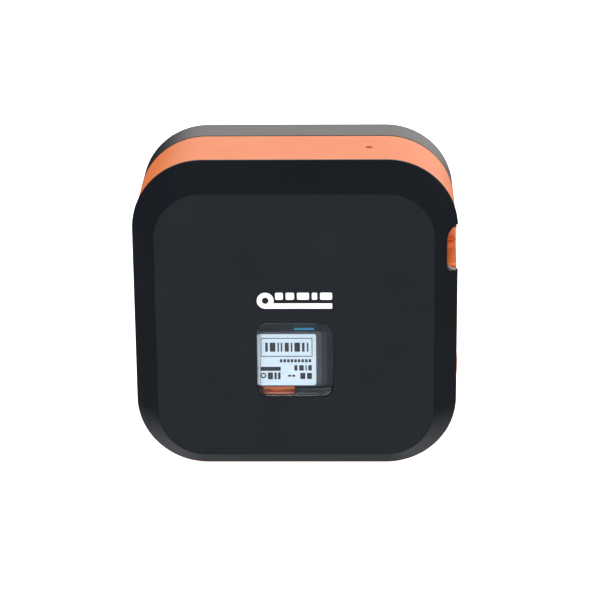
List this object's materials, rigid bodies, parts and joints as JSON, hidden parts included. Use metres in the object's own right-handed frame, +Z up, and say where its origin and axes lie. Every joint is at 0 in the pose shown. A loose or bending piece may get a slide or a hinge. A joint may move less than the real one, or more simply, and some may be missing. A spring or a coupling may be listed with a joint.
{
  "type": "label maker",
  "caption": "Square desktop label maker with a bevelled lift-off front cover, cassette window, orange mid band, tape exit, auto cutter and removable tape cassette.",
  "frame": {"origin": "middle of the footprint, on the surface that the feet rest on", "axes": "+X to the right seen from the front (the tape exit side), +Y from the front cover to the back, +Z up"},
  "size_m": [0.1288, 0.067, 0.128],
  "materials": {
    "black_abs": "fine satin moulded, near black",
    "dark_abs": "fine satin moulded, charcoal",
    "orange_abs": "satin moulded orange",
    "clear_acrylic": "clear moulded window",
    "rubber_black": "matt",
    "steel": "brushed",
    "motor_steel": "plated can",
    "acetal": "natural white, smooth",
    "circuit_board": "solder mask",
    "blank_label": "printed film, left blank",
    "light_pipe": "frosted clear",
    "head_ceramic": "glazed strip",
    "aluminium_plate": "plain plate",
    "battery_wrap": "shrink wrap",
    "cassette_grey": "satin moulded dark grey",
    "printed_label": "pale blue printed label",
    "white_tape": "laminated film tape",
    "ribbon_film": "ink ribbon"
  },
  "bodies": {
    "root": {"mid_frame": "orange_abs", "exit_guide": "orange_abs", "rear_housing": "dark_abs", "rating_label": "blank_label", "switch_board": "circuit_board", "power_switch": "steel", "feed_switch": "steel", "status_light_pipe": "light_pipe", "bay_chassis": "orange_abs", "gear_plate": "steel", "feed_motor": "motor_steel", "holder_pivot_pin": "steel", "print_head": "head_ceramic", "head_heatsink": "aluminium_plate", "fixed_blade": "steel", "cutter_motor": "motor_steel", "main_board": "circuit_board", "wireless_module": "steel", "usb_shell": "steel", "usb_tongue": "dark_abs", "battery_pack": "battery_wrap", "rear_screw_1": "steel", "rear_screw_2": "steel", "rear_screw_3": "steel", "rear_screw_4": "steel", "foot_1": "rubber_black", "foot_2": "rubber_black", "foot_3": "rubber_black", "foot_4": "rubber_black"},
    "cover": {"front_cover": "black_abs", "window_lens": "clear_acrylic"},
    "power_key": {"power_button": "orange_abs"},
    "feed_cut_key": {"feed_cut_button": "orange_abs"},
    "holder": {"roller_holder": "dark_abs", "holder_spring": "steel"},
    "platen": {"platen_roller": "rubber_black", "platen_shaft": "steel", "platen_gear": "acetal"},
    "press_roll": {"press_roller": "rubber_black", "press_roller_shaft": "steel"},
    "feed_idler": {"feed_idler_gear": "acetal"},
    "link_idler": {"link_idler_gear": "acetal"},
    "ribbon_drive": {"ribbon_gear": "acetal", "ribbon_spindle": "acetal"},
    "feed_rotor": {"feed_motor_pinion": "acetal"},
    "blade": {"moving_blade": "steel", "blade_carriage": "dark_abs"},
    "cutter_wheel": {"cutter_gear": "acetal"},
    "cutter_rotor": {"cutter_motor_pinion": "acetal"},
    "cassette": {"cassette_front_shell": "cassette_grey", "cassette_back_shell": "cassette_grey", "cassette_label": "printed_label", "tape_strip": "white_tape"},
    "tape_reel": {"tape_roll": "white_tape", "tape_core": "acetal"},
    "ribbon_supply_reel": {"ribbon_supply": "ribbon_film"},
    "ribbon_takeup_reel": {"ribbon_takeup": "ribbon_film"}
  },
  "joints": [
    {"name": "cover_slide", "type": "slide", "parent": "root", "child": "cover", "axis": [0, -1, 0], "range_m": [0, 0.08]},
    {"name": "cassette_slide", "type": "slide", "parent": "root", "child": "cassette", "axis": [0, -1, 0], "range_m": [0, 0.045]},
    {"name": "power_press", "type": "slide", "parent": "root", "child": "power_key", "axis": [-1, 0, 0], "range_m": [0, 0.0008], "stiffness_N_per_m": 900, "springref_m": -0.0006},
    {"name": "feed_cut_press", "type": "slide", "parent": "root", "child": "feed_cut_key", "axis": [-1, 0, 0], "range_m": [0, 0.0008], "stiffness_N_per_m": 900, "springref_m": -0.0006},
    {"name": "holder_swing", "type": "hinge", "parent": "root", "child": "holder", "pos_m": [0.00958, -0.012, 0.0968], "axis": [0, -1, 0], "range_deg": [0, 6], "stiffness_Nm_per_rad": 0.06, "springref_deg": -20.05},
    {"name": "feed_idler_spin", "type": "hinge", "parent": "root", "child": "feed_idler", "pos_m": [0.02958, 0.005, 0.076], "axis": [0, -1, 0], "continuous": true},
    {"name": "platen_spin", "type": "hinge", "parent": "holder", "child": "platen", "pos_m": [0.02958, -0.012, 0.0968], "axis": [0, -1, 0], "continuous": true},
    {"name": "press_roll_spin", "type": "hinge", "parent": "holder", "child": "press_roll", "pos_m": [0.04258, -0.012, 0.0968], "axis": [0, -1, 0], "continuous": true},
    {"name": "ribbon_drive_spin", "type": "hinge", "parent": "root", "child": "ribbon_drive", "pos_m": [0.00794, 0, 0.0818], "axis": [0, -1, 0], "continuous": true},
    {"name": "link_idler_spin", "type": "hinge", "parent": "root", "child": "link_idler", "pos_m": [-0.00206, 0.005, 0.09912], "axis": [0, -1, 0], "continuous": true},
    {"name": "feed_motor_spin", "type": "hinge", "parent": "root", "child": "feed_rotor", "pos_m": [-0.01493, 0.005, 0.10992], "axis": [0, -1, 0], "continuous": true},
    {"name": "blade_cut", "type": "slide", "parent": "root", "child": "blade", "axis": [0, 0, -1], "range_m": [0, 0.0044]},
    {"name": "cutter_gear_turn", "type": "hinge", "parent": "root", "child": "cutter_wheel", "pos_m": [0.04557, 0.005, 0.106], "axis": [0, 1, 0], "range_deg": [0, 63.2]},
    {"name": "cutter_motor_turn", "type": "hinge", "parent": "root", "child": "cutter_rotor", "pos_m": [0.03518, 0.005, 0.112], "axis": [0, 1, 0], "range_deg": [-126.4, 0]},
    {"name": "tape_reel_spin", "type": "hinge", "parent": "cassette", "child": "tape_reel", "pos_m": [-0.01843, -0.012, 0.064], "axis": [0, -1, 0], "continuous": true},
    {"name": "ribbon_supply_spin", "type": "hinge", "parent": "cassette", "child": "ribbon_supply_reel", "pos_m": [0.01657, -0.012, 0.054], "axis": [0, -1, 0], "continuous": true},
    {"name": "ribbon_takeup_spin", "type": "hinge", "parent": "cassette", "child": "ribbon_takeup_reel", "pos_m": [0.00794, -0.012, 0.0818], "axis": [0, -1, 0], "continuous": true}
  ],
  "couplings": [
    {"joint": "cassette_slide", "follows": "cover_slide", "ratio": 0.55},
    {"joint": "platen_spin", "follows": "feed_idler_spin", "ratio": -2.25},
    {"joint": "press_roll_spin", "follows": "feed_idler_spin", "ratio": -2.25},
    {"joint": "ribbon_drive_spin", "follows": "feed_idler_spin", "ratio": -1.8},
    {"joint": "link_idler_spin", "follows": "feed_idler_spin", "ratio": 1.2},
    {"joint": "feed_motor_spin", "follows": "feed_idler_spin", "ratio": -3},
    {"joint": "ribbon_takeup_spin", "follows": "feed_idler_spin", "ratio": -1.8},
    {"joint": "ribbon_supply_spin", "follows": "feed_idler_spin", "ratio": -0.875},
    {"joint": "tape_reel_spin", "follows": "feed_idler_spin", "ratio": -0.3663},
    {"joint": "cutter_gear_turn", "follows": "blade_cut", "rad_per_m": 250},
    {"joint": "cutter_motor_turn", "follows": "blade_cut", "rad_per_m": -500}
  ]
}
